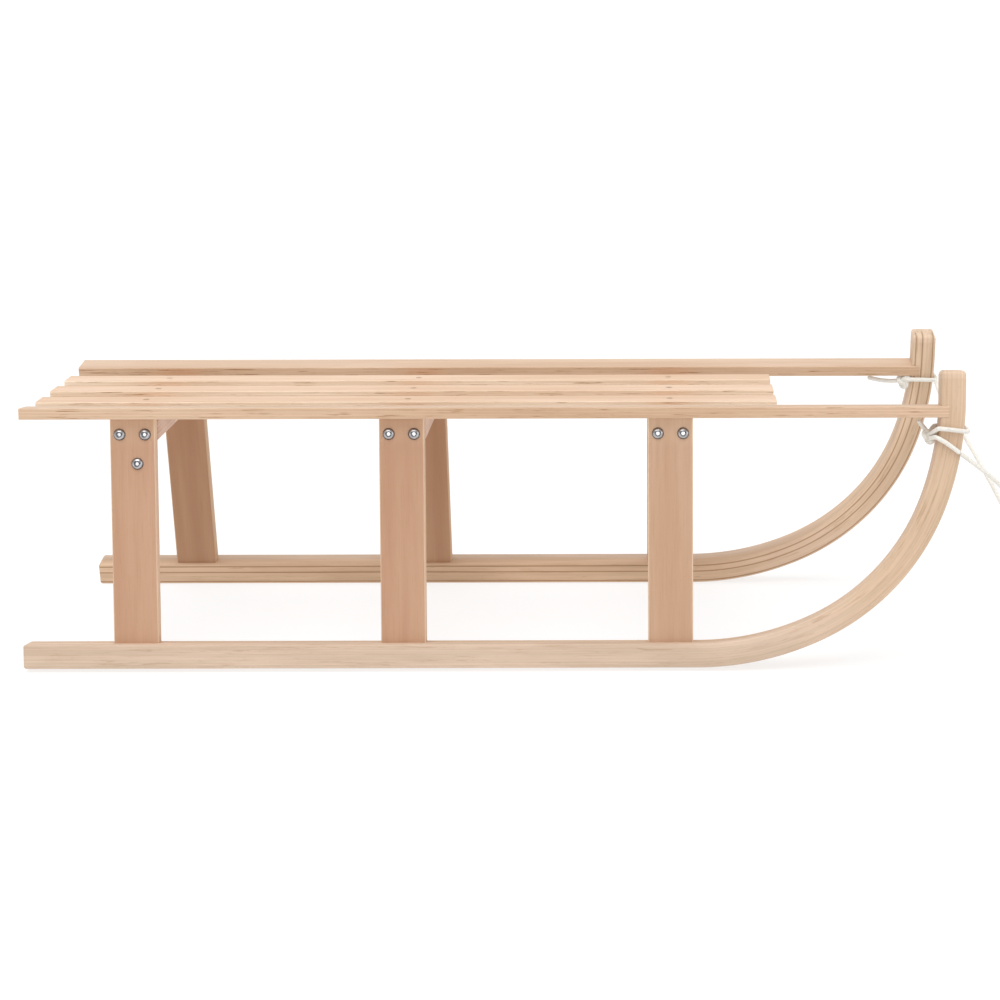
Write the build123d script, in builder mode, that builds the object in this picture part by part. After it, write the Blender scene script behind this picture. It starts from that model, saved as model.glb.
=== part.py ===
"""Rigid wooden toboggan: two laminated runners with upswept horns, six plywood legs, three
crossbars, five seat slats and a braided pull rope.

Millimetres. +X points forward, +Y to the rider's left, +Z up. The origin is on the floor at the
middle of the sledge's footprint. Everything on the right side (-Y) is drawn and then mirrored.
"""

import os
from math import cos, pi, radians, sin, tan

from build123d import *

os.makedirs("parts", exist_ok=True)

# overall
LENGTH = 1000.0
HALF_WIDTH = 189.0
SIDE_TILT = 9.2
SIN_TILT = sin(radians(SIDE_TILT))
COS_TILT = cos(radians(SIDE_TILT))
REAR = -LENGTH / 2
FRONT = LENGTH / 2

# runners: a straight base, three tangent bends and an upright horn
RUNNER_WIDTH = 29.5
RUNNER_DEPTH = 26.0
BENDS = ((315.0, 24.6), (252.0, 45.6), (332.0, 19.8))
BEND_START = 217.1
HORN_TOP = 315.0
HORN_CORNER = 5.0
RUNNER_CORNER = 3.0
RUNNER_EDGE = 2.2
EDGE_LIFT = RUNNER_EDGE * (COS_TILT + SIN_TILT - 1)

# side rails, each let into a notch in the back of a horn
RAIL_TILT = 7.3
SIN_RAIL = sin(radians(RAIL_TILT))
COS_RAIL = cos(radians(RAIL_TILT))
RAIL_WIDTH = 32.5
RAIL_THICKNESS = 12.0
RAIL_REAR = -498.5
RAIL_FRONT = 482.0
RAIL_EDGE_Y = -146.0
RAIL_EDGE_Z = 278.3

# inner slats
SLAT_WIDTH = 33.0
SLAT_THICKNESS = 12.0
SLAT_PITCH = 63.0
SLAT_TOP = 271.6
SLAT_FRONT = 304.5
SLAT_EDGE = 1.2

# legs and crossbars
LEG_CENTRES = (-381.5, -96.5, 188.5)
LEG_NAMES = ("rear", "middle", "front")
LEG_WIDTH = 48.0
LEG_THICKNESS = 15.0
LEG_INSET = 10.0
LEG_EDGE = 2.5
CROSSBAR_WIDTH = 48.0
CROSSBAR_TOP = SLAT_TOP - SLAT_THICKNESS
CROSSBAR_BOTTOM = 239.3
CROSSBAR_EDGE = 1.0

# fasteners
BOLT_HEIGHT = 249.0
BOLT_SPACING = 26.8
BOLT_DIAMETER = 5.0
BOLT_LENGTH = 40.0
BOLT_HEAD = 12.6
BOLT_HEAD_HEIGHT = 3.6
SOCKET_ACROSS = 4.0
SOCKET_DEPTH = 2.2
EXTRA_BOLT_OFFSET = 5.0
EXTRA_BOLT_HEIGHT = 218.0
EXTRA_BOLT_LENGTH = 12.0
SLAT_SCREW = (3.6, 26.0, 7.0)
RUNNER_SCREW = (4.0, 60.0, 8.0)
RUNNER_SCREW_SPACING = 24.0
HORN_SCREW = (4.0, 45.0, 8.0)
HORN_SCREW_Z = 271.0
HEAD_SUNK = 0.6
DOWEL_DIAMETER = 6.0
DOWEL_SPACING = 26.0
DOWEL_IN_RAIL = 8.0
DOWEL_IN_LEG = 13.0

# pull rope: knotted round both horns, its two leads running down to a coil on the floor
ROPE = 5.0
COIL_RADIUS = 5.5 * ROPE
COIL_TURNS = 3.5
COIL_CENTRE = (655.0, -100.0)
COIL_HEIGHT = (COIL_TURNS + 1) * ROPE
LEAD_RIGHT = (
    (494.0, -155.4, 229.5),
    (517.0, -150.0, 212.0),
    (540.0, -145.0, 192.5),
    (568.0, -138.0, 157.0),
    (590.0, -132.0, 112.0),
    (603.0, -128.5, 62.0),
    (614.0, -127.5, 8.0),
    (655.0, -127.5, 2.6),
)
LEAD_LEFT = (
    (501.5, 113.0, 257.5),
    (502.0, 87.0, 248.5),
    (510.0, 52.0, 232.0),
    (525.0, 20.0, 208.6),
    (541.0, -10.0, 180.5),
    (556.5, -40.0, 150.8),
    (575.0, -62.0, 112.0),
    (592.0, -71.0, 66.0),
    (612.0, -72.5, 27.0),
    (655.0, -72.5, 20.0),
)
TIGHT_BEND = 4.9
KNOT_RIGHT = (464.0, -132.0, 243.5)
KNOT_LEFT = (465.0, 120.0, 255.4)
KNOT_RADIUS = 7.0
TURN_RIGHT = (
    (464.5, -136.0, 246.5),
    (469.9, -152.0, 256.0),
    (502.4, -152.0, 252.0),
    (502.4, -116.3, 250.0),
    (469.9, -116.3, 252.0),
    (464.0, -128.0, 246.0),
)
PASS_RIGHT = (
    (464.0, -136.0, 242.0),
    (468.0, -153.0, 247.0),
    (481.0, -154.4, 239.5),
    (494.0, -155.4, 229.5),
)
TAIL_RIGHT = ((463.6, -132.0, 245.0), (457.5, -128.0, 252.5), (452.0, -125.0, 259.5))
TURN_LEFT = (
    (465.0, 118.0, 257.5),
    (471.0, 114.4, 258.5),
    (503.0, 114.4, 257.5),
    (503.0, 150.8, 258.0),
    (471.0, 150.8, 259.0),
    (465.5, 125.0, 257.5),
)
TAIL_LEFT = ((463.6, 121.0, 256.5), (445.0, 122.0, 253.0), (423.0, 124.0, 259.5))


def side_plane(depth):
    """Leaning plane of the right-hand side, `depth` inward from the runner's outer face.

    Its x runs forward and its y runs up the leaning side from the runner's underside, which is
    set so that its rounded inner edge touches the floor."""
    height = (RUNNER_WIDTH - depth) * SIN_TILT - EDGE_LIFT
    return Plane(
        origin=(0, -(HALF_WIDTH - depth * COS_TILT), height),
        x_dir=(1, 0, 0),
        z_dir=(0, -COS_TILT, SIN_TILT),
    )


def side_point(x, height, depth):
    """World point at `height` up the leaning side and `depth` inward from its outer face."""
    return side_plane(depth).from_local_coords(Vector(x, height, 0))


def rail_plane(x):
    """Cross-section plane of the right-hand rail: its x runs inward, its y runs up."""
    return Plane(
        origin=(x, RAIL_EDGE_Y, RAIL_EDGE_Z),
        x_dir=(0, COS_RAIL, -SIN_RAIL),
        z_dir=(1, 0, 0),
    )


def export(solid, label):
    solid.label = label
    export_step(solid, f"parts/{label}.step")


def export_pair(part, name):
    """Write the right-hand piece and its mirror image on the left."""
    export(part.mirror(Plane.XZ), f"{name}_left")
    export(part, f"{name}_right")


# ---- shared sketches and cutters -------------------------------------------------------------

RAIL_UNDERSIDE = Plane(
    origin=(0, RAIL_EDGE_Y - RAIL_THICKNESS * SIN_RAIL, RAIL_EDGE_Z - RAIL_THICKNESS * COS_RAIL),
    x_dir=(1, 0, 0),
    z_dir=(0, SIN_RAIL, COS_RAIL),
)
LEG_MIDDLE = LEG_INSET + LEG_THICKNESS / 2
LEG_TOP = 265.7


def screw_axis(x, height):
    """Plane on a leg's outer face with z pointing into the wood."""
    origin = side_point(x, height, LEG_INSET)
    return Plane(origin=origin, x_dir=(1, 0, 0), z_dir=(0, COS_TILT, -SIN_TILT))


def runner_screw_axis(x):
    """Plane in a runner's underside below a leg, z pointing up the leg."""
    origin = side_point(x, HEAD_SUNK, LEG_MIDDLE)
    return Plane(origin=origin, x_dir=(1, 0, 0), z_dir=(0, SIN_TILT, COS_TILT))


def dowel_axis(x):
    """Plane inside the top of a leg, z pointing up the leg through the rail's underside."""
    start = LEG_TOP - DOWEL_IN_LEG
    return Plane(
        origin=side_point(x, start, LEG_MIDDLE),
        x_dir=(1, 0, 0),
        z_dir=(0, SIN_TILT, COS_TILT),
    )


def horn_screw_axis():
    """Plane in the front face of the right horn, z pointing back into the rail's end."""
    middle = RAIL_EDGE_Y + RAIL_WIDTH / 2
    return Plane(origin=(FRONT - HEAD_SUNK, middle, HORN_SCREW_Z), x_dir=(0, 1, 0), z_dir=(-1, 0, 0))


def slat_screw_axis(x, y):
    """Plane just under a slat's top face, z pointing down."""
    return Plane(origin=(x, y, SLAT_TOP - HEAD_SUNK), x_dir=(1, 0, 0), z_dir=(0, 0, -1))


BOLT_AXES = [
    screw_axis(centre + shift, BOLT_HEIGHT)
    for centre in LEG_CENTRES
    for shift in (-BOLT_SPACING / 2, BOLT_SPACING / 2)
]
EXTRA_BOLT_AXIS = screw_axis(LEG_CENTRES[0] + EXTRA_BOLT_OFFSET, EXTRA_BOLT_HEIGHT)
RUNNER_SCREW_AXES = [
    runner_screw_axis(centre + shift)
    for centre in LEG_CENTRES
    for shift in (-RUNNER_SCREW_SPACING / 2, RUNNER_SCREW_SPACING / 2)
]
DOWEL_AXES = [
    dowel_axis(centre + shift)
    for centre in LEG_CENTRES
    for shift in (-DOWEL_SPACING / 2, DOWEL_SPACING / 2)
]
DOWEL_LENGTH = DOWEL_IN_LEG + DOWEL_IN_RAIL
SLAT_SCREW_AXES = [
    slat_screw_axis(centre, y)
    for centre in LEG_CENTRES
    for y in (-SLAT_PITCH, 0.0, SLAT_PITCH)
]


def countersunk(axis, size, sunk=0.0):
    """Countersunk screw (or, with `sunk`, the hole it sits in) along z of `axis`."""
    shank, length, head = size
    flank = (head - shank) / 2
    with BuildPart() as screw:
        with BuildSketch(axis):
            Circle(head / 2)
        extrude(amount=flank, taper=45)
        with BuildSketch(axis):
            Circle(shank / 2)
        extrude(amount=length)
        if sunk:
            with BuildSketch(axis):
                Circle(head / 2)
            extrude(amount=-sunk)
    return screw.part


def shank(axis, diameter, length):
    """Plain round pin along z of `axis`."""
    with BuildPart() as pin:
        with BuildSketch(axis):
            Circle(diameter / 2)
        extrude(amount=length)
    return pin.part


BOLT_SHANKS = [shank(axis, BOLT_DIAMETER, BOLT_LENGTH) for axis in BOLT_AXES]
EXTRA_SHANK = shank(EXTRA_BOLT_AXIS, BOLT_DIAMETER, EXTRA_BOLT_LENGTH)
RUNNER_SCREWS = [countersunk(axis, RUNNER_SCREW) for axis in RUNNER_SCREW_AXES]
RUNNER_HOLES = [countersunk(axis, RUNNER_SCREW, 2.0) for axis in RUNNER_SCREW_AXES]
HORN_SCREWS = countersunk(horn_screw_axis(), HORN_SCREW)
HORN_HOLE = countersunk(horn_screw_axis(), HORN_SCREW, 2.0)
SLAT_SCREWS = [countersunk(axis, SLAT_SCREW) for axis in SLAT_SCREW_AXES]
SLAT_HOLES = [countersunk(axis, SLAT_SCREW, 2.0) for axis in SLAT_SCREW_AXES]
DOWELS = [shank(axis, DOWEL_DIAMETER, DOWEL_LENGTH) for axis in DOWEL_AXES]

# ---- runners ---------------------------------------------------------------------------------

with BuildPart() as runner:
    with BuildSketch(side_plane(0)) as runner_profile:
        with BuildLine():
            base = Line((REAR, 0), (BEND_START, 0))
            end, heading = base @ 1, base % 1
            for radius, sweep_angle in BENDS:
                outer = JernArc(end, heading, radius, sweep_angle)
                end, heading = outer @ 1, outer % 1
            front = Line(end, (end.X, HORN_TOP))
            top = Line(front @ 1, (end.X - RUNNER_DEPTH, HORN_TOP))
            back = Line(top @ 1, (end.X - RUNNER_DEPTH, end.Y))
            end, heading = back @ 1, back % 1
            for radius, sweep_angle in reversed(BENDS):
                inner = JernArc(end, heading, radius - RUNNER_DEPTH, -sweep_angle)
                end, heading = inner @ 1, inner % 1
            deck = Line(end, (REAR, RUNNER_DEPTH))
            Line(deck @ 1, base @ 0)
        make_face()
        fillet(runner_profile.vertices().group_by(Axis.X)[0], RUNNER_CORNER)
        fillet(runner_profile.vertices().group_by(Axis.Y)[-1], HORN_CORNER)
    extrude(amount=-RUNNER_WIDTH)
    sides = runner.faces().filter_by(Axis(side_plane(0).origin, side_plane(0).z_dir))
    fillet(sides.edges(), RUNNER_EDGE)
    with BuildSketch(rail_plane(RAIL_FRONT)):
        with Locations((RAIL_WIDTH / 2, -RAIL_THICKNESS / 2)):
            Rectangle(2 * RAIL_WIDTH, RAIL_THICKNESS)
    extrude(amount=-2 * RUNNER_DEPTH, mode=Mode.SUBTRACT)
    for hole in RUNNER_HOLES:
        add(hole, mode=Mode.SUBTRACT)
    add(HORN_HOLE, mode=Mode.SUBTRACT)
export_pair(runner.part, "runner")

# ---- side rails ------------------------------------------------------------------------------

with BuildPart() as rail:
    with BuildSketch(rail_plane(RAIL_REAR)):
        with Locations((RAIL_WIDTH / 2, -RAIL_THICKNESS / 2)):
            RectangleRounded(RAIL_WIDTH, RAIL_THICKNESS, SLAT_EDGE)
    extrude(amount=RAIL_FRONT - RAIL_REAR)
    for dowel in DOWELS:
        add(dowel, mode=Mode.SUBTRACT)
    add(HORN_HOLE, mode=Mode.SUBTRACT)
export_pair(rail.part, "side_rail")

# ---- legs ------------------------------------------------------------------------------------

for centre, name in zip(LEG_CENTRES, LEG_NAMES):
    with BuildPart() as leg:
        with BuildSketch(side_plane(LEG_INSET)):
            with Locations((centre, RUNNER_DEPTH)):
                Rectangle(LEG_WIDTH, HORN_TOP, align=(Align.CENTER, Align.MIN))
        extrude(amount=-LEG_THICKNESS)
        upright = Axis(side_plane(0).origin, side_plane(0).y_dir)
        fillet(leg.edges().filter_by(upright), LEG_EDGE)
        split(bisect_by=RAIL_UNDERSIDE, keep=Keep.BOTTOM)
        for pin in BOLT_SHANKS + RUNNER_SCREWS + DOWELS:
            add(pin, mode=Mode.SUBTRACT)
        if name == "rear":
            add(EXTRA_SHANK, mode=Mode.SUBTRACT)
    export_pair(leg.part, f"leg_{name}")

# ---- crossbars -------------------------------------------------------------------------------

LEG_INNER_FACE = side_plane(LEG_INSET + LEG_THICKNESS)
for centre, name in zip(LEG_CENTRES, LEG_NAMES):
    with BuildPart() as crossbar:
        with BuildSketch(Plane.XY.offset(CROSSBAR_BOTTOM)):
            with Locations((centre, 0)):
                Rectangle(CROSSBAR_WIDTH, 2 * HALF_WIDTH)
        extrude(amount=CROSSBAR_TOP - CROSSBAR_BOTTOM)
        fillet(crossbar.edges().filter_by(Axis.Y), CROSSBAR_EDGE)
        split(bisect_by=LEG_INNER_FACE, keep=Keep.BOTTOM)
        for pin in BOLT_SHANKS:
            add(pin, mode=Mode.SUBTRACT)
        split(bisect_by=Plane.XZ, keep=Keep.TOP)
        mirror(about=Plane.XZ)
        for hole in SLAT_HOLES:
            add(hole, mode=Mode.SUBTRACT)
    export(crossbar.part, f"crossbar_{name}")

# ---- inner slats -----------------------------------------------------------------------------

for offset, name in ((-SLAT_PITCH, "right"), (0.0, "middle"), (SLAT_PITCH, "left")):
    with BuildPart() as slat:
        with BuildSketch(Plane.YZ.offset(RAIL_REAR)):
            with Locations((offset, SLAT_TOP - SLAT_THICKNESS / 2)):
                RectangleRounded(SLAT_WIDTH, SLAT_THICKNESS, SLAT_EDGE)
        extrude(amount=SLAT_FRONT - RAIL_REAR)
        for hole in SLAT_HOLES:
            add(hole, mode=Mode.SUBTRACT)
    export(slat.part, f"slat_{name}")

# ---- fasteners -------------------------------------------------------------------------------


def domed_bolt(axis, length):
    """Button-head bolt whose head stands on the leg's face and whose shank runs into it."""
    rim = BOLT_HEAD / 2
    flat = rim * 0.4
    with BuildPart() as bolt:
        with BuildSketch(Plane.XZ):
            with BuildLine():
                Polyline((0, -BOLT_HEAD_HEIGHT), (0, 0), (rim, 0), (rim, -0.5))
                ThreePointArc(
                    (rim, -0.5),
                    (rim * 0.78, -BOLT_HEAD_HEIGHT * 0.66),
                    (flat, -BOLT_HEAD_HEIGHT),
                )
                Line((flat, -BOLT_HEAD_HEIGHT), (0, -BOLT_HEAD_HEIGHT))
            make_face()
        revolve(axis=Axis.Z)
        with BuildSketch(Plane.XY.offset(-BOLT_HEAD_HEIGHT)):
            RegularPolygon(SOCKET_ACROSS / 2, 6, major_radius=False)
        extrude(amount=SOCKET_DEPTH, mode=Mode.SUBTRACT)
        with BuildSketch(Plane.XY):
            Circle(BOLT_DIAMETER / 2)
        extrude(amount=length)
    return axis.location * bolt.part


def both_sides(solids):
    """The solids and their mirror images on the other side, as one group."""
    return Compound(children=[*solids, *[solid.mirror(Plane.XZ) for solid in solids]])


export(both_sides([domed_bolt(axis, BOLT_LENGTH) for axis in BOLT_AXES]), "crossbar_bolts")
export(both_sides([domed_bolt(EXTRA_BOLT_AXIS, EXTRA_BOLT_LENGTH)]), "rear_leg_bolts")
export(both_sides(RUNNER_SCREWS), "runner_screws")
export(both_sides([HORN_SCREWS]), "rail_end_screws")
export(both_sides(DOWELS), "rail_dowels")
export(Compound(children=SLAT_SCREWS), "slat_screws")

# ---- pull rope -------------------------------------------------------------------------------


def corner_radii(points, widest):
    """One bend radius per corner, as wide as the runs beside it allow and no wider than asked."""
    corners = [Vector(*point) for point in points]
    radii = []
    for before, at, after in zip(corners, corners[1:], corners[2:]):
        into, out = at - before, after - at
        turn = radians(into.get_angle(out))
        radii.append(min(widest, 0.45 * min(into.length, out.length) / tan(turn / 2)))
    return radii


def rope_tube(points, widest=10000.0):
    """Round tube through `points` with a tangent arc at every corner."""
    radii = corner_radii(points, widest)
    with BuildPart() as tube:
        with BuildLine() as route:
            FilletPolyline(*points, radius=radii)
        path = route.wire()
        with BuildSketch(Plane(origin=path @ 0, z_dir=path % 0)):
            Circle(ROPE / 2)
        sweep()
    print(
        f"radii {[round(radius, 1) for radius in radii]}",
        f"length {path.length:.1f}",
        f"volume {tube.part.volume:.0f} of {pi * ROPE**2 / 4 * path.length:.0f}",
    )
    return tube.part


def hitch(knot, tight_strands, tail):
    """The strands drawn tight round a horn, their knot and the loose tail, as one solid."""
    with BuildPart() as hitched:
        with Locations(knot):
            Sphere(KNOT_RADIUS)
        for strand in tight_strands:
            add(rope_tube(strand, TIGHT_BEND))
        add(rope_tube(tail))
    return hitched.part


export(hitch(KNOT_RIGHT, (TURN_RIGHT, PASS_RIGHT), TAIL_RIGHT), "rope_hitch_right")
export(hitch(KNOT_LEFT, (TURN_LEFT,), TAIL_LEFT), "rope_hitch_left")
export(rope_tube(LEAD_RIGHT), "rope_lead_right")
export(rope_tube(LEAD_LEFT), "rope_lead_left")

with BuildPart() as coil:
    with BuildSketch(Plane.XZ.offset(-COIL_CENTRE[1])):
        with Locations((COIL_CENTRE[0] + COIL_RADIUS, COIL_HEIGHT / 2)):
            RectangleRounded(ROPE, COIL_HEIGHT, 0.48 * ROPE)
    revolve(axis=Axis((*COIL_CENTRE, 0), (0, 0, 1)))
export(coil.part, "rope_coil")
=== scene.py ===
from math import cos, pi, radians, sin, sqrt

import bpy
import numpy as np
from mathutils import Matrix, Vector


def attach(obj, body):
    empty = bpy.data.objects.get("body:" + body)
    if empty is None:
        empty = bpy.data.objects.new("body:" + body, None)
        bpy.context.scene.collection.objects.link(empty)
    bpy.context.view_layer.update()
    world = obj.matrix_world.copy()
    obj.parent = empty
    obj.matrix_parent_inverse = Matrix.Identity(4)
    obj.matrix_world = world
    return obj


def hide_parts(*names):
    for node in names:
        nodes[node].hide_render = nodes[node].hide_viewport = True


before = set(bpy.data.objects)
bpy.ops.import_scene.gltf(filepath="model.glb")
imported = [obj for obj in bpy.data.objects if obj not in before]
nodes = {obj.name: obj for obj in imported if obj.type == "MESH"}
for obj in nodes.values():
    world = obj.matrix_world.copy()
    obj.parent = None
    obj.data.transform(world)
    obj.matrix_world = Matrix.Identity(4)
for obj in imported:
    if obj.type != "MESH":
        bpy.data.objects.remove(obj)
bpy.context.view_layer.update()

MM = 0.001

# ---- camera and suns -------------------------------------------------------------------------

CAMERA_PLACE = (0.1569, -2.4569, 0.7402)
CAMERA_DOWN = 13.683  # degrees below level, looking along +y
CAMERA_ROLL = -0.135
LENS = 80.51
SENSOR = 36
SHIFT = -0.1408
FARTHEST = 300


def add_camera():
    ahead = Vector((0, cos(radians(CAMERA_DOWN)), -sin(radians(CAMERA_DOWN))))
    right = Vector((1, 0, 0))
    up = right.cross(ahead)
    roll = radians(CAMERA_ROLL)
    across = right * cos(roll) + up * sin(roll)
    above = up * cos(roll) - right * sin(roll)
    camera = bpy.data.objects.new("camera", bpy.data.cameras.new("camera"))
    bpy.context.collection.objects.link(camera)
    turn = Matrix((across, above, -ahead)).transposed().to_4x4()
    camera.matrix_world = Matrix.Translation(CAMERA_PLACE) @ turn
    camera.data.lens = LENS
    camera.data.sensor_width = SENSOR
    camera.data.shift_x = SHIFT
    camera.data.clip_end = FARTHEST
    bpy.context.scene.camera = camera


def add_sun(name, strength, spread, towards):
    sun = bpy.data.objects.new(name, bpy.data.lights.new(name, "SUN"))
    bpy.context.collection.objects.link(sun)
    sun.data.energy = strength
    sun.data.angle = radians(spread)
    sun.rotation_euler = Vector(towards).to_track_quat("-Z", "Y").to_euler()


def srgb(*levels):
    """Linear colour of 0-255 display levels."""
    return tuple((level / 255) ** 2.2 for level in levels) + (1.0,)


# ---- node graphs -----------------------------------------------------------------------------

WHITE = (1, 1, 1, 1)
GENERATED, NORMAL, OBJECT = 0, 1, 3  # outputs of a texture coordinate node
FACTOR, COLOUR_A, COLOUR_B, MIXED = 0, 6, 7, 2  # sockets of a mix node that mixes colours


class Graph:
    """The node tree of a material or a world, with short ways to add its nodes."""

    def __init__(self, owner):
        owner.use_nodes = True
        self.tree = owner.node_tree

    def add(self, kind, *inputs, out=0, **settings):
        node = self.tree.nodes.new("ShaderNode" + kind)
        for key, value in settings.items():
            setattr(node, key, value)
        for slot, value in enumerate(inputs):
            self.feed(node.inputs[slot], value)
        return node.outputs[out]

    def feed(self, socket, value):
        if isinstance(value, bpy.types.NodeSocket):
            self.tree.links.new(value, socket)
        elif value is not None:
            socket.default_value = value

    def math(self, operation, a, b=None):
        return self.add("Math", a, b, operation=operation)

    def dot(self, a, b):
        return self.add("VectorMath", a, b, operation="DOT_PRODUCT", out=1)

    def parts(self, vector):
        return tuple(self.add("SeparateXYZ", vector).node.outputs)

    def noise(self, vector, scale, detail, roughness, shift=(0, 0, 0)):
        """Smooth noise that changes about `scale` times per unit of each part of the vector."""
        scaled = self.add("Mapping", vector, shift, None, scale)
        return self.add("TexNoise", scaled, None, 1.0, detail, roughness)

    def ease(self, value, low, high, to_low=0.0, to_high=1.0):
        """Smooth step from `to_low` to `to_high` while `value` goes from `low` to `high`."""
        return self.add("MapRange", value, low, high, to_low, to_high, interpolation_type="SMOOTHSTEP")

    def mix(self, factor, a, b, blend="MIX"):
        node = self.tree.nodes.new("ShaderNodeMix")
        node.data_type = "RGBA"
        node.blend_type = blend
        for slot, value in ((FACTOR, factor), (COLOUR_A, a), (COLOUR_B, b)):
            self.feed(node.inputs[slot], value)
        return node.outputs[MIXED]

    def ramp(self, value, stops, warmth):
        """Levels at the given positions. Darker levels have less green and blue, by `warmth`."""
        node = self.tree.nodes.new("ShaderNodeValToRGB")
        elements = node.color_ramp.elements
        while len(elements) < len(stops):
            elements.new(1.0)
        for element, (position, level) in zip(elements, stops):
            element.position = position
            element.color = (level, level ** warmth[0], level ** warmth[1], 1)
        self.feed(node.inputs[0], value)
        return node.outputs[0]


class Surface(Graph):
    """A new material's graph, with its shader."""

    def __init__(self, name):
        self.material = bpy.data.materials.new(name)
        super().__init__(self.material)
        self.shader = self.tree.nodes["Principled BSDF"]

    def bump(self, height, strength, distance):
        node = self.tree.nodes.new("ShaderNodeBump")
        node.inputs["Strength"].default_value = strength
        node.inputs["Distance"].default_value = distance
        self.feed(node.inputs["Height"], height)
        self.feed(self.shader.inputs["Normal"], node.outputs[0])

    def finish(self, colour, roughness, **fixed):
        self.feed(self.shader.inputs["Base Color"], colour)
        self.feed(self.shader.inputs["Roughness"], roughness)
        for key, value in fixed.items():
            self.shader.inputs[key.replace("_", " ")].default_value = value
        return self.material


# ---- plywood ---------------------------------------------------------------------------------

PLY_THICK = 12 * MM
WOOD_WARMTH = (1.35, 1.8)  # powers of a level that give its green and blue
EDGE_TONE = (0.86, 0.82, 0.76, 1.0)
FIBRE_TONE = srgb(150, 104, 72)
PORE_TONE = srgb(120, 78, 50)
STREAK_TONE = srgb(146, 104, 66)
SAWN_TONE = srgb(166, 118, 84)
SEED_STEPS = (3.7, 1.3, 0.7)  # how far each seed moves a board's noise
BROAD_SCALE = (2.4, 34, 34)
FIBRE_SCALE = (22, 950, 950)
PORE_SCALE = (110, 1700, 1700)
WOBBLE_SCALE = (7, 60, 0.1)
STREAK_SCALE = (20, 30, 640)
SAWN_SCALE = (900, 900, 1400)
WOBBLE = 0.045  # how far the layers wander, as a share of the thickness
WOOD_BUMP = 0.12 * MM


def ply_stops(plies, glue, cross_tone, glue_tone, foot=1.0):
    """Levels across a stack of plies: long plies, darker cross plies, and glue lines that reach `glue` to
    each side. The lower half darkens towards `foot` at its underside, a painted shade."""
    stops = []
    for ply in range(plies):
        low, high = ply / plies, (ply + 1) / plies
        tone = (cross_tone if ply % 2 else 1.0) * (foot + (1 - foot) * min(1.0, 2 * low))
        stops += [(low + glue, tone), (high - glue, tone)]
        if ply + 1 < plies:
            stops.append((high, glue_tone))
    return stops


def wood(
    graph, grain, tone, dark, stops, streaks, seed,
    end=None, edge=None, edge_tone=EDGE_TONE, inner=None, tint=(),
):
    """Colour and bump of plywood. `grain` holds metres along the grain and across it and, as z,
    the share of the thickness. `stops` are its layers and `streaks` how much dark shows in them.
    `end` and `edge` say where end grain and sawn edges show, the edges multiplied by `edge_tone`.
    `inner` is a pair: other layers, and where those show instead. `tint` lists further pairs of where a
    tint shows and its colour; some of these tints are painted light."""
    shift = tuple(seed * step for step in SEED_STEPS)
    along, across, thick = graph.parts(grain)
    metres = graph.add("CombineXYZ", along, across, graph.math("MULTIPLY", thick, PLY_THICK))
    broad = graph.noise(metres, BROAD_SCALE, 4, 0.6, shift)
    fibre = graph.noise(metres, FIBRE_SCALE, 3, 0.6, shift)
    pore = graph.noise(metres, PORE_SCALE, 2, 0.5, shift)
    wobble = graph.math("SUBTRACT", graph.noise(metres, WOBBLE_SCALE, 2, 0.5, shift), 0.5)
    level = graph.math("ADD", thick, graph.math("MULTIPLY", wobble, WOBBLE))
    layer = graph.ramp(level, stops, WOOD_WARMTH)
    if inner is not None:
        layer = graph.mix(inner[1], layer, graph.ramp(level, inner[0], WOOD_WARMTH))
    patchy = graph.noise(metres, STREAK_SCALE, 3, 0.65, shift)
    streak = graph.ease(patchy, 0.58, 0.68, 0.0, streaks)
    inside = graph.math("MULTIPLY", graph.ease(thick, 0.03, 0.12), graph.ease(thick, 0.97, 0.9))
    colour = graph.mix(graph.ease(broad, 0.32, 0.68), dark, tone)
    colour = graph.mix(graph.ease(fibre, 0.5, 0.78, 0.0, 0.20), colour, FIBRE_TONE)
    colour = graph.mix(graph.ease(pore, 0.6, 0.8, 0.0, 0.16), colour, PORE_TONE)
    colour = graph.mix(1.0, colour, layer, "MULTIPLY")
    colour = graph.mix(graph.math("MULTIPLY", streak, inside), colour, STREAK_TONE)
    if edge is not None:
        colour = graph.mix(edge, colour, edge_tone, "MULTIPLY")
    for where, shade in tint:
        colour = graph.mix(where, colour, shade, "MULTIPLY")
    if end is not None:
        speckle = graph.noise(metres, SAWN_SCALE, 2, 0.6, shift)
        sawn = graph.mix(graph.ease(speckle, 0.45, 0.75, 0.1, 0.55), colour, SAWN_TONE)
        colour = graph.mix(end, colour, sawn)
    height = graph.math("ADD", graph.math("MULTIPLY", fibre, 0.7), graph.math("MULTIPLY", pore, 0.4))
    height = graph.math("ADD", height, graph.math("MULTIPLY", graph.add("RGBToBW", layer), 1.2))
    graph.bump(height, 0.35, WOOD_BUMP)
    rough = graph.ease(fibre, 0.2, 0.8, 0.46, 0.66)
    return graph.finish(colour, rough, Specular_IOR_Level=0.35)


def board_material(name, along, across, through, fade=None, **looks):
    """Plywood for one CAD board, its grain, width and thickness along the given directions.
    `fade` holds two places along it and the tint of painted light that it takes on from the first to the
    second."""
    graph = Surface(name + "_wood")
    heights = [Vector(through).dot(v.co) for v in nodes[name].data.vertices]
    low, high = min(heights), max(heights)
    place = graph.add("TexCoord", out=OBJECT)
    facing = graph.add("TexCoord", out=NORMAL)
    thick = graph.add("MapRange", graph.dot(place, through), low, high, 0.0, 1.0)
    grain = graph.add("CombineXYZ", graph.dot(place, along), graph.dot(place, across), thick)
    end = graph.ease(graph.math("ABSOLUTE", graph.dot(facing, along)), 0.6, 0.9)
    edge = graph.ease(graph.math("ABSOLUTE", graph.dot(facing, across)), 0.35, 0.75)
    if fade is not None:
        start, stop, shade = fade
        looks["tint"] = ((graph.ease(graph.dot(place, along), start, stop), shade),)
    return wood(graph, grain, end=end, edge=edge, **looks)


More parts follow.
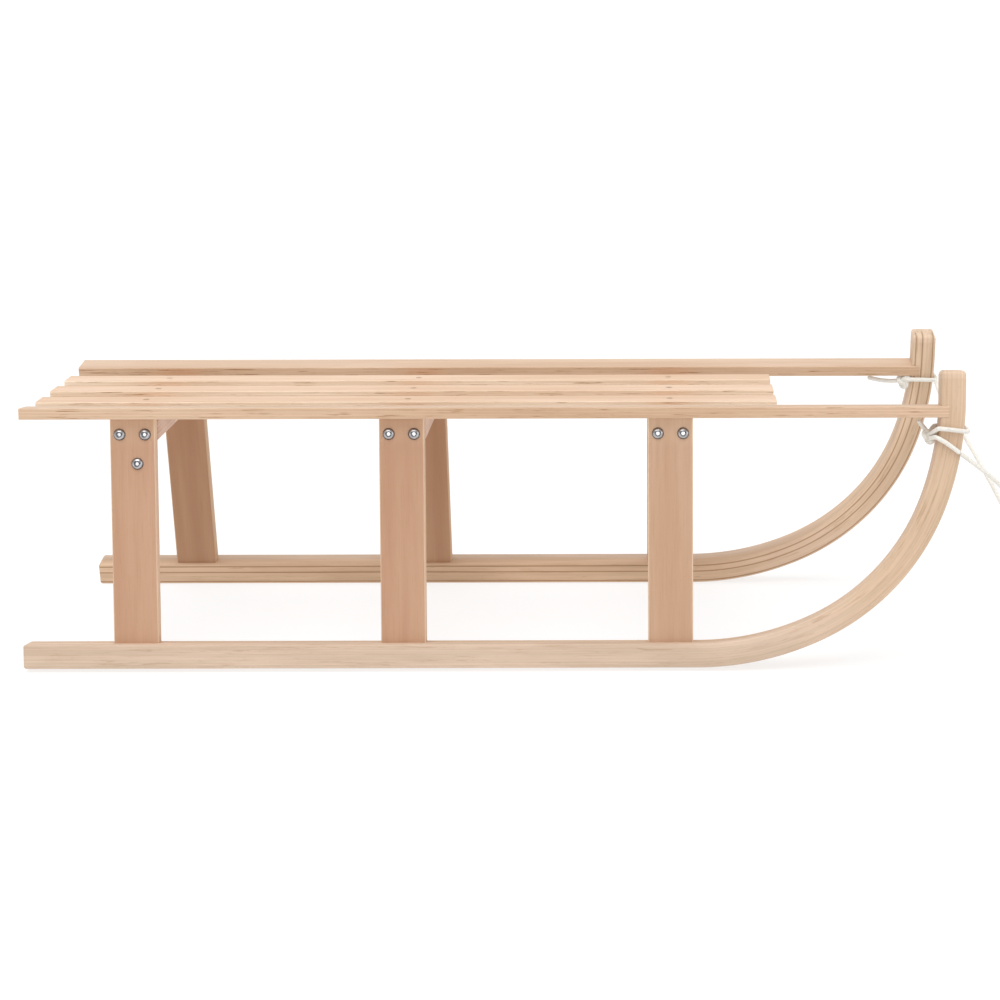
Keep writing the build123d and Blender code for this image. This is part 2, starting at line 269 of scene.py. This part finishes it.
def paint(name, material):
    for slot in nodes[name].material_slots:
        slot.material = material


# ---- wooden boards ---------------------------------------------------------------------------

X, Y, Z = (1, 0, 0), (0, 1, 0), (0, 0, 1)
SIDES = (("right", 1), ("left", -1))
PLACES = ("rear", "middle", "front")
LEAN = radians(9.2)
RAIL_LEAN = radians(7.3)
GLUE = 0.02
RAIL_PLIES = ply_stops(7, GLUE, cross_tone=0.94, glue_tone=0.80)
# Painted shade: the slats' plies darken towards their undersides, along the bottom of their fronts.
SLAT_PLIES = ply_stops(7, GLUE, cross_tone=0.94, glue_tone=0.80, foot=0.80)
LEG_PLIES = ply_stops(9, GLUE, cross_tone=0.92, glue_tone=0.76)
DOWEL_LEVELS = [(0, 1.0), (1, 0.95)]
# Painted light: each leg is lightened over its top, just under the rail, where it lies in shade.
LEG_TOP_PAINTED_LIGHT = (0.205, 0.232, (1.16, 1.24, 1.27, 1))
LEG_TONES = {
    "right": (srgb(190, 150, 122), srgb(178, 136, 108)),
    # Painted shade: the left legs are toned darker all over for the shade on their inner faces.
    "left": (srgb(178, 139, 109), srgb(167, 126, 96)),
    "leg_front_right": (srgb(198, 163, 136), srgb(186, 148, 120)),
}
LEG_SEEDS = {"rear": 4, "middle": 6, "front": 5}
# The slats' edge_tone lightens their fronts and backs: painted light against the shade they lie in.
SLATS = dict(
    tone=srgb(231, 202, 177), dark=srgb(216, 181, 152), edge_tone=(1.10, 1.20, 1.25, 1),
    stops=SLAT_PLIES, streaks=0.85,
)
# Painted shade: the rails' tone is set darker than the slats'.
RAILS = dict(
    tone=srgb(216, 189, 165), dark=srgb(201, 170, 143), edge_tone=(0.98, 0.94, 0.89, 1),
    stops=RAIL_PLIES, streaks=0.85,
)
# The legs' edge_tone makes their edges lighter and greyer: partly plywood's lighter edges, partly painted
# light on their shaded sides.
LEGS = dict(edge_tone=(1.4, 1.7, 1.9, 1), stops=LEG_PLIES, streaks=0.5, fade=LEG_TOP_PAINTED_LIGHT)
CROSSBARS = dict(
    tone=srgb(228, 192, 166), dark=srgb(210, 170, 142), edge_tone=(0.98, 1.02, 1.12, 1),
    stops=LEG_PLIES, streaks=0.4,
)
DOWELS = dict(tone=srgb(220, 186, 150), dark=srgb(200, 160, 120), stops=DOWEL_LEVELS, streaks=0.2)


def leaned(lean, sign):
    """Directions up and to the left, both turned so that up leans in over the sledge by `lean`."""
    return (0, sign * sin(lean), cos(lean)), (0, cos(lean), -sign * sin(lean))


def finish_board(name, along, across, through, seed, looks):
    paint(name, board_material(name, along, across, through, seed=seed, **looks))


def finish_boards():
    for number, name in enumerate(("slat_right", "slat_middle", "slat_left")):
        finish_board(name, X, Y, Z, number + 1, SLATS)
    for number, (side, sign) in enumerate(SIDES):
        up, left = leaned(RAIL_LEAN, sign)
        finish_board(f"side_rail_{side}", X, left, up, number + 5, RAILS)
    for number, (side, sign) in enumerate(SIDES):
        up, left = leaned(LEAN, sign)
        for place in PLACES:
            name = f"leg_{place}_{side}"
            tone, dark = LEG_TONES.get(name, LEG_TONES[side])
            looks = dict(tone=tone, dark=dark, **LEGS)
            finish_board(name, up, X, left, number * 3 + LEG_SEEDS[place], looks)
    for number, place in enumerate(PLACES):
        finish_board(f"crossbar_{place}", Y, X, Z, number + 20, CROSSBARS)
    finish_board("rail_dowels", Z, X, Y, 30, DOWELS)


# ---- laminated runners -----------------------------------------------------------------------

HALF_WIDTH = 189 * MM  # from the middle out to a runner's outer face, at the floor
REAR = -500 * MM
RUNNER_WIDTH = 29.5 * MM
RUNNER_DEPTH = 26 * MM
RUNNER_EDGE = 2.2 * MM
REAR_CORNER = 3 * MM
HORN_CORNER = 5 * MM
BEND_START = 217.1 * MM
BENDS = ((315 * MM, 24.6), (252 * MM, 45.6), (332 * MM, 19.8))  # radius and degrees
HORN_TOP = 315 * MM
EDGE_LIFT = RUNNER_EDGE * (cos(LEAN) + sin(LEAN) - 1)  # what rounding takes off the lowest edge
LEAST_CORNER = 0.2 * MM
END_SHARES = (0.0, 0.04, 0.12, 0.25, 0.45, 0.7, 1.0)  # places of the rings in a rounded end
STRAIGHT_STEPS = 60
BEND_STEP = 1.2
HORN_STEPS = 12
CORNER_STEPS = 4


def runner_line():
    """Points of the runner's underside in its own leaning plane, each with its heading angle."""
    line = [(REAR + HORN_CORNER * share, 0.0, 0.0) for share in END_SHARES]
    start = line[-1][0]
    for step in range(1, STRAIGHT_STEPS + 1):
        line.append((start + (BEND_START - start) * step / STRAIGHT_STEPS, 0.0, 0.0))
    x, height, heading = line[-1]
    for radius, turn in BENDS:
        centre = (x - radius * sin(heading), height + radius * cos(heading))
        steps = int(turn / BEND_STEP)
        for step in range(1, steps + 1):
            angle = heading + radians(turn) * step / steps
            line.append((centre[0] + radius * sin(angle), centre[1] - radius * cos(angle), angle))
        x, height, heading = line[-1]
    for step in range(1, HORN_STEPS + 1):
        line.append((x, height + (HORN_TOP - HORN_CORNER - height) * step / HORN_STEPS, heading))
    line += [(x, HORN_TOP - HORN_CORNER * share, heading) for share in reversed(END_SHARES[:-1])]
    return line


def rounded(distance, radius):
    """How far a surface has drawn in at `distance` from an end with a rounded corner."""
    left = max(0.0, radius - distance)
    return radius - sqrt(radius * radius - left * left)


def section(low, high, left, right, corner):
    """Rounded rectangle as (depth, width) pairs."""
    ring = []
    corners = ((low, left, 270), (low, right, 180), (high, right, 90), (high, left, 360))
    for depth, width, start in corners:
        middle_depth = depth + (corner if depth == low else -corner)
        middle_width = width + (corner if width == left else -corner)
        for step in range(CORNER_STEPS + 1):
            angle = radians(start - 90 * step / CORNER_STEPS)
            ring.append((middle_depth + corner * cos(angle), middle_width + corner * sin(angle)))
    return ring


def make_runner(side, sign):
    """One mesh of rings along the runner's line. Its map layers say where each point is: the
    length gone and the share of the depth, then the width and the length left to the horn's top."""
    line = runner_line()
    travelled = [0.0]
    for (x0, h0, _), (x1, h1, _) in zip(line, line[1:]):
        travelled.append(travelled[-1] + sqrt((x1 - x0) ** 2 + (h1 - h0) ** 2))
    total = travelled[-1]
    places, routes, widths = [], [], []
    for (x, height, heading), gone in zip(line, travelled):
        left_over = total - gone
        draw = rounded(gone, REAR_CORNER) + rounded(left_over, HORN_CORNER)
        slim = rounded(gone, RUNNER_EDGE) + rounded(left_over, HORN_CORNER)
        corner = max(RUNNER_EDGE - slim, LEAST_CORNER)
        for depth, width in section(draw, RUNNER_DEPTH - draw, slim, RUNNER_WIDTH - slim, corner):
            up = height + depth * cos(heading)
            y = -(HALF_WIDTH - width * cos(LEAN)) + up * sin(LEAN)
            z = (RUNNER_WIDTH - width) * sin(LEAN) - EDGE_LIFT + up * cos(LEAN)
            places.append((x - depth * sin(heading), sign * y, z))
            routes.append((gone, depth / RUNNER_DEPTH))
            widths.append((width, left_over))
    count = len(places) // len(line)
    faces = [tuple(range(count)), tuple(range((len(line) - 1) * count, len(line) * count))[::-1]]
    for ring_number in range(len(line) - 1):
        base = ring_number * count
        for i in range(count):
            j = (i + 1) % count
            faces.append((base + i, base + count + i, base + count + j, base + j))
    if sign < 0:
        faces = [face[::-1] for face in faces]
    mesh = bpy.data.meshes.new(f"runner_{side}_laminated")
    mesh.from_pydata(places, [], faces)
    for layer, values in (("route", routes), ("width", widths)):
        uv = mesh.uv_layers.new(name=layer)
        for loop in mesh.loops:
            uv.data[loop.index].uv = values[loop.vertex_index]
    mesh.shade_smooth()
    runner = bpy.data.objects.new(f"runner_{side}_laminated", mesh)
    bpy.context.collection.objects.link(runner)
    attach(runner, "root")
    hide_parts(f"runner_{side}")
    return runner


def lamination(glue_lines, level, half):
    """Levels through a runner, with a thin dark glue line at each given share of its depth."""
    stops = [(0.0, 1.0)]
    for place in glue_lines:
        stops += [(place - 2 * half, 1.0), (place - half, level)]
        stops += [(place + half, level), (place + 2 * half, 1.0)]
    stops.append((1.0, 1.0))
    return stops


OUTER_LAYERS = lamination((0.12, 0.23, 0.37, 0.58, 0.78), 0.94, 0.012)
INNER_LAYERS = lamination((0.12, 0.58, 0.87), 0.62, 0.02)
RUNNER_SEED = 44
RUNNER_TONE = srgb(217, 192, 171)
RUNNER_DARK = srgb(193, 167, 145)
BAND_TINT = (0.92, 0.93, 0.91, 1)
INWARD_TINT = (0.99, 0.91, 0.80, 1)
# Painted light: the horn is lightened towards its top, and the horn's top cap is lighter and bluer still.
HORN_PAINTED_LIGHT = (1.13, 1.10, 1.03, 1)
CAP_PAINTED_LIGHT = (1.06, 1.09, 1.14, 1)
BASE_FADE = (0.92, 0.72)
HORN_LIGHT_SPAN = (0.78, 0.98)
CAP_LIGHT_SPAN = (10 * MM, 7 * MM)
BAND_SCALE = (3.5, 20, 7.0)


def runner_material(side, seed):
    graph = Surface(f"runner_{side}_wood")
    gone, depth, _ = graph.parts(graph.add("UVMap", uv_map="route"))
    width, left_over, _ = graph.parts(graph.add("UVMap", uv_map="width"))
    grain = graph.add("CombineXYZ", gone, width, depth)
    inward = graph.ease(width, 0.3 * RUNNER_WIDTH, 0.7 * RUNNER_WIDTH)
    base = graph.ease(gone, *BASE_FADE)
    band = graph.noise(grain, BAND_SCALE, 3, 0.6, (seed, 0, 0))
    tint = (
        (graph.ease(band, 0.42, 0.62), BAND_TINT),
        (graph.math("MULTIPLY", inward, base), INWARD_TINT),
        # Painted light on the horn and on its top cap.
        (graph.ease(gone, *HORN_LIGHT_SPAN), HORN_PAINTED_LIGHT),
        (graph.ease(left_over, *CAP_LIGHT_SPAN), CAP_PAINTED_LIGHT),
    )
    return wood(
        graph, grain, tone=RUNNER_TONE, dark=RUNNER_DARK, stops=OUTER_LAYERS, streaks=0.3, seed=seed,
        inner=(INNER_LAYERS, inward), tint=tint,
    )


def finish_runners():
    for side, sign in SIDES:
        runner = make_runner(side, sign)
        runner.data.materials.append(runner_material(side, RUNNER_SEED + sign))


# ---- steel -----------------------------------------------------------------------------------

LEG_PITCH = 285 * MM
REAR_LEG = -381.5 * MM
BOLT_SHIFT = 13.4 * MM
BOLT_HEIGHT = 249 * MM
EXTRA_BOLT_SHIFT = 5 * MM
EXTRA_BOLT_HEIGHT = 218 * MM
BOLT_RADIUS = 6.3 * MM
# Painted light and shade by share of the bolt's radius: lit socket floor, shaded socket wall, dome, shaded
# rim.
SOCKET_PAINTED_SHADING = (
    (0.0, 0.9), (0.24, 0.85), (0.34, 0.16), (0.46, 0.16),
    (0.56, 0.62), (0.78, 0.52), (0.9, 0.26), (1.0, 0.2),
)
PLAIN_GREY = (1, 1)
PLATED = srgb(246, 246, 250)
CLOUDED = srgb(140, 138, 136)
TURNED_SCALE = (2600, 300, 2600)
CLOUD_SCALE = (240, 240, 240)
STEEL_BUMP = 0.05 * MM


def steel(name, colour, rough, shade=None):
    """Zinc-plated steel. `shade` is a darkening by place that paints light and shade, such as the bolts'
    socket rings.
    """
    graph = Surface(name)
    place = graph.add("TexCoord", out=OBJECT)
    turned = graph.noise(place, TURNED_SCALE, 3, 0.6)
    cloud = graph.noise(place, CLOUD_SCALE, 3, 0.6)
    tone = graph.mix(graph.ease(cloud, 0.3, 0.75, 0.0, 0.5), colour, CLOUDED)
    if shade is not None:
        tone = graph.mix(1.0, tone, shade(graph, place), "MULTIPLY")
    graph.bump(turned, 0.12, STEEL_BUMP)
    return graph.finish(tone, graph.ease(turned, 0.3, 0.7, rough, rough + 0.14), Metallic=1.0)


def painted_bolt_rings(sideways, height):
    """Painted light and shade in grey rings round each bolt's axis: a lit socket floor, its wall in painted
    shade, the dome and a darker rim.
    `height` is the bolt's own, up the leaning leg from the floor."""

    def shade(graph, place):
        x, y, z = graph.parts(place)
        outward = graph.math("MULTIPLY", graph.math("ABSOLUTE", y), -sin(LEAN))
        risen = graph.math("ADD", graph.math("MULTIPLY", z, cos(LEAN)), outward)
        floor = (HALF_WIDTH - RUNNER_WIDTH * cos(LEAN)) * sin(LEAN) + EDGE_LIFT * cos(LEAN)
        up = graph.math("ADD", risen, floor - height)
        across = sideways(graph, x)
        square = graph.math("ADD", graph.math("MULTIPLY", across, across), graph.math("MULTIPLY", up, up))
        share = graph.math("DIVIDE", graph.math("SQRT", square), BOLT_RADIUS)
        return graph.ramp(share, SOCKET_PAINTED_SHADING, PLAIN_GREY)

    return shade


def from_pair(graph, x):
    """How far `x` is to the side of the nearer bolt of the pair on its leg."""
    start = graph.math("ADD", x, LEG_PITCH / 2 - REAR_LEG)
    leg = graph.math("ADD", graph.math("MODULO", start, LEG_PITCH), -LEG_PITCH / 2)
    return graph.math("ADD", graph.math("ABSOLUTE", leg), -BOLT_SHIFT)


def from_extra(graph, x):
    """How far `x` is to the side of the extra bolt on a rear leg."""
    return graph.math("ADD", x, -(REAR_LEG + EXTRA_BOLT_SHIFT))


def finish_steel():
    # Painted light and shade: the bolts get grey rings round their axes.
    paint("crossbar_bolts", steel("bright_zinc", PLATED, 0.20, painted_bolt_rings(from_pair, BOLT_HEIGHT)))
    extra = painted_bolt_rings(from_extra, EXTRA_BOLT_HEIGHT)
    paint("rear_leg_bolts", steel("leg_bolt_zinc", PLATED, 0.20, extra))
    paint("rail_end_screws", steel("screw_zinc", srgb(190, 190, 192), 0.24))
    dull = steel("dull_zinc", srgb(205, 180, 160), 0.36)
    for name in ("slat_screws", "runner_screws"):
        paint(name, dull)


# ---- pull rope -------------------------------------------------------------------------------

ROPE = 5 * MM
LEAD_RIGHT = (
    (0.494, -0.1554, 0.2295), (0.517, -0.150, 0.212), (0.540, -0.145, 0.1925), (0.568, -0.138, 0.157),
    (0.590, -0.132, 0.112), (0.603, -0.1285, 0.062), (0.614, -0.1275, 0.008),
)
LEAD_LEFT = (
    (0.612, -0.0725, 0.027), (0.592, -0.071, 0.066), (0.575, -0.062, 0.112), (0.5565, -0.040, 0.1508),
    (0.541, -0.010, 0.1805), (0.525, 0.020, 0.2086), (0.510, 0.052, 0.232), (0.502, 0.087, 0.2485),
    (0.5015, 0.113, 0.2575),
)
COIL_CENTRE = (0.655, -0.100)
COIL_RADIUS = 5.5 * ROPE
COIL_TURNS = 3.5
COIL_POINTS = 16
TURN_RIGHT = (
    (0.4645, -0.136, 0.2465), (0.4692, -0.1499, 0.2547), (0.4725, -0.152, 0.2557),
    (0.4998, -0.152, 0.2523), (0.5024, -0.1494, 0.2519), (0.5024, -0.1189, 0.2502),
    (0.4998, -0.1163, 0.2502), (0.4725, -0.1163, 0.2518), (0.4688, -0.1184, 0.2509),
    (0.464, -0.128, 0.246),
)
PASS_RIGHT = (
    (0.464, -0.136, 0.242), (0.4672, -0.1505, 0.2464), (0.4702, -0.1537, 0.2456), (0.481, -0.1544, 0.2395),
    (0.494, -0.1554, 0.2295),
)
TAIL_RIGHT = ((0.4636, -0.132, 0.245), (0.4575, -0.128, 0.2525), (0.452, -0.125, 0.2595))
TURN_LEFT = (
    (0.465, 0.118, 0.2575), (0.469, 0.1156, 0.2582), (0.4736, 0.1144, 0.2584),
    (0.5004, 0.1144, 0.2576), (0.503, 0.117, 0.2575), (0.503, 0.1482, 0.258),
    (0.5004, 0.1508, 0.2581), (0.4736, 0.1508, 0.2589), (0.4705, 0.1482, 0.2588),
    (0.4655, 0.125, 0.2575),
)
TAIL_LEFT = ((0.4636, 0.121, 0.2565), (0.445, 0.122, 0.253), (0.423, 0.124, 0.2595))
KNOT_RIGHT = (0.464, -0.132, 0.2435)
KNOT_LEFT = (0.465, 0.120, 0.2554)
KNOT_UNIT = 2.35 * MM
KNOT_HEART = 1.3 * MM
STRANDS = 4  # laid each way round
SPLINE_ORDER = 3
SPLINE_STEPS = 16
KNOT_STEPS = 160
KNOT_DEPTH = 1.1
LAY_LENGTH = 24 * MM
STRAND_THICK = 0.85 * MM
STRAND_WIDE = 1.6 * MM
STRAND_WAVE = 0.15 * MM
ROPE_STEP = 0.6 * MM
STRAND_SIDES = 8
FEWEST_RINGS = 4
START_SIDE = (0.3, 0.9, 0.31)  # any direction that no rope starts along
TAPER_LENGTH = 1.2 * MM
TAPER_LEAST = 0.35


def coil_points():
    """The coil's turns from the end of the right lead up to the start of the left one."""
    count = int(COIL_TURNS * COIL_POINTS)
    points = []
    for step in range(count + 1):
        angle = -pi / 2 + 2 * pi * step / COIL_POINTS
        x = COIL_CENTRE[0] + COIL_RADIUS * cos(angle)
        y = COIL_CENTRE[1] + COIL_RADIUS * sin(angle)
        points.append((x, y, ROPE / 2 + ROPE * step / COIL_POINTS))
    return tuple(points)


def smooth_line(points):
    """Closely spaced points along the smooth spline of these control points."""
    curve = bpy.data.curves.new("guide", "CURVE")
    curve.dimensions = "3D"
    curve.resolution_u = SPLINE_STEPS
    spline = curve.splines.new("NURBS")
    spline.points.add(len(points) - 1)
    for vertex, point in zip(spline.points, points):
        vertex.co = (*point, 1)
    spline.order_u = SPLINE_ORDER
    spline.use_endpoint_u = True
    guide = bpy.data.objects.new("guide", curve)
    mesh = bpy.data.meshes.new_from_object(guide)
    line = [tuple(v.co) for v in mesh.vertices]
    bpy.data.objects.remove(guide)
    bpy.data.meshes.remove(mesh)
    return line


def knot_line(centre, unit):
    """An overhand knot drawn up tight round `centre`."""
    line = []
    for step in range(KNOT_STEPS + 1):
        t = 2 * pi * step / KNOT_STEPS
        line.append((
            centre[0] + unit * (sin(t) + 2 * sin(2 * t)),
            centre[1] + unit * KNOT_DEPTH * sin(3 * t),
            centre[2] + unit * (cos(t) - 2 * cos(2 * t)),
        ))
    return line


def braid(line):
    """Vertices and faces of an eight-strand braid along a line of points."""
    raw = np.array(line)
    reach = np.concatenate(([0], np.cumsum(np.linalg.norm(np.diff(raw, axis=0), axis=1))))
    gone = np.linspace(0, reach[-1], max(FEWEST_RINGS, int(reach[-1] / ROPE_STEP)))
    centre = np.stack([np.interp(gone, reach, raw[:, axis]) for axis in range(3)], axis=1)
    ahead = np.gradient(centre, axis=0)
    ahead /= np.linalg.norm(ahead, axis=1)[:, None]
    side = np.zeros_like(centre)
    side[0] = np.cross(ahead[0], START_SIDE)
    side[0] /= np.linalg.norm(side[0])
    for i in range(1, len(centre)):
        turned = side[i - 1] - ahead[i] * side[i - 1].dot(ahead[i])
        side[i] = turned / np.linalg.norm(turned)
    up = np.cross(ahead, side)
    phase = 2 * pi * gone / LAY_LENGTH
    middle = ROPE / 2 - STRAND_THICK - STRAND_WAVE
    taper = np.clip(np.minimum(gone, gone[-1] - gone) / TAPER_LENGTH, TAPER_LEAST, 1.0)
    vertices, faces = [], []
    for strand in range(2 * STRANDS):
        way = 1 if strand < STRANDS else -1
        angle = way * phase + 2 * pi * strand / STRANDS
        out = np.cos(angle)[:, None] * side + np.sin(angle)[:, None] * up
        reach_out = (middle + way * STRAND_WAVE * np.cos(STRANDS * phase)) * taper
        path = centre + out * reach_out[:, None]
        along = np.gradient(path, axis=0)
        along /= np.linalg.norm(along, axis=1)[:, None]
        broad = np.cross(along, out)
        first = len(vertices) * len(centre) * STRAND_SIDES
        ring = []
        for step in range(STRAND_SIDES):
            turn = 2 * pi * step / STRAND_SIDES
            surface = STRAND_THICK * cos(turn) * out + STRAND_WIDE * sin(turn) * broad
            ring.append(path + taper[:, None] * surface)
        vertices.append(np.stack(ring, axis=1).reshape(-1, 3))
        rows = np.arange(len(centre) - 1)[:, None] * STRAND_SIDES + first
        this = np.arange(STRAND_SIDES)[None, :]
        following = (this + 1) % STRAND_SIDES
        quads = (rows + this, rows + following, rows + STRAND_SIDES + following, rows + STRAND_SIDES + this)
        faces.append(np.stack(quads, axis=2).reshape(-1, 4))
        last = first + (len(centre) - 1) * STRAND_SIDES
        for start in (first, last):
            for step in range(STRAND_SIDES // 2 - 1):
                far = start + STRAND_SIDES - 1 - step
                faces.append(np.array([(start + step, start + step + 1, far - 1, far)]))
    return np.concatenate(vertices), np.concatenate(faces)


def rope_piece(name, lines, material, *stands_for):
    """One piece of braid along all these lines, in place of the named CAD nodes."""
    vertices, faces = [], []
    total = 0
    for line in lines:
        points, quads = braid(line)
        vertices.append(points)
        faces.append(quads + total)
        total += len(points)
    mesh = bpy.data.meshes.new(name)
    mesh.from_pydata(np.concatenate(vertices).tolist(), [], np.concatenate(faces).tolist())
    mesh.shade_smooth()
    mesh.materials.append(material)
    piece = bpy.data.objects.new(name, mesh)
    bpy.context.collection.objects.link(piece)
    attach(piece, "root")
    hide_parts(*stands_for)
    return piece


ROPE_WHITE = srgb(233, 230, 222)
ROPE_SOILED = srgb(215, 209, 199)
ROPE_SHADED = srgb(188, 182, 172)
YARN_SCALE = (5200, 5200, 5200)
SOIL_SCALE = (60, 60, 60)
YARN_BUMP = 0.08 * MM


def rope_material():
    graph = Surface("white_cord")
    place = graph.add("TexCoord", out=OBJECT)
    fibre = graph.noise(place, YARN_SCALE, 2, 0.6)
    soil = graph.noise(place, SOIL_SCALE, 3, 0.6)
    colour = graph.mix(graph.ease(soil, 0.4, 0.75, 0.0, 0.7), ROPE_WHITE, ROPE_SOILED)
    colour = graph.mix(graph.ease(fibre, 0.35, 0.7, 0.0, 0.25), colour, ROPE_SHADED)
    graph.bump(fibre, 0.4, YARN_BUMP)
    return graph.finish(colour, graph.ease(fibre, 0.3, 0.7, 0.72, 0.9), Sheen_Weight=0.25)


def make_hitch(side, material, knot, *routes):
    lines = [smooth_line(points) for points in routes]
    lines += [knot_line(knot, KNOT_UNIT), knot_line(knot, KNOT_HEART)]
    rope_piece(f"hitch_{side}", lines, material, f"rope_hitch_{side}")


def make_rope():
    material = rope_material()
    line = smooth_line(LEAD_RIGHT + coil_points() + LEAD_LEFT)
    rope = rope_piece("pull_rope", [line], material, "rope_lead_right", "rope_coil", "rope_lead_left")
    make_hitch("right", material, KNOT_RIGHT, TURN_RIGHT, PASS_RIGHT, TAIL_RIGHT)
    make_hitch("left", material, KNOT_LEFT, TURN_LEFT, TAIL_LEFT)


# ---- floor and world -------------------------------------------------------------------------

FLOOR_HALF = 90
FLOOR_TONE = srgb(150, 150, 150)
FLOOR_GLOW = 0.72
ROOM_STRENGTH = 0.62
DARK_WAY = (0, -0.93, -0.36)
DARK_FADE = (0.3, 0.75)  # from white to dark, by how squarely a place in the sky lies that way
DARK_TONE = (0.06, 0.06, 0.065, 1)
HORIZON_FADE = (0.2, 0.07)  # heights in the sky between which it turns to the horizon's tone
HORIZON_TONE = (1.65, 1.65, 1.65, 1)
SUNS = (  # name, strength, degrees across and direction of its light
    ("overhead", 1.9, 60, (0.15, 0.25, -1)),
    ("front", 0.52, 30, (0.05, 1, -0.32)),
    ("side", 0.5, 40, (-1, 0.2, -0.2)),
)


def make_floor():
    corners = [(x * FLOOR_HALF, y * FLOOR_HALF, 0) for x, y in ((-1, -1), (1, -1), (1, 1), (-1, 1))]
    mesh = bpy.data.meshes.new("floor")
    mesh.from_pydata(corners, [], [(0, 1, 2, 3)])
    floor = bpy.data.objects.new("floor", mesh)
    bpy.context.collection.objects.link(floor)
    graph = Surface("pale_floor")
    graph.shader.inputs["Emission Color"].default_value = WHITE
    matt = graph.finish(FLOOR_TONE, 0.9, Specular_IOR_Level=0.0, Emission_Strength=FLOOR_GLOW)
    mesh.materials.append(matt)


def light_scene():
    """White room, dark towards the sledge's right but for a bright band at the horizon, and
    three soft suns."""
    world = bpy.data.worlds.new("studio")
    bpy.context.scene.world = world
    graph = Graph(world)
    place = graph.add("TexCoord", out=GENERATED)
    dark = graph.add("MapRange", graph.dot(place, DARK_WAY), *DARK_FADE, 0.0, 1.0)
    near_horizon = graph.ease(graph.parts(place)[2], *HORIZON_FADE)
    sky = graph.mix(near_horizon, graph.mix(dark, WHITE, DARK_TONE), HORIZON_TONE)
    background = graph.tree.nodes["Background"]
    graph.feed(background.inputs["Color"], sky)
    graph.feed(background.inputs["Strength"], ROOM_STRENGTH)
    for sun in SUNS:
        add_sun(*sun)
    bpy.context.scene.view_settings.view_transform = "Standard"


add_camera()
make_rope()
make_floor()
light_scene()
finish_boards()
finish_runners()
finish_steel()
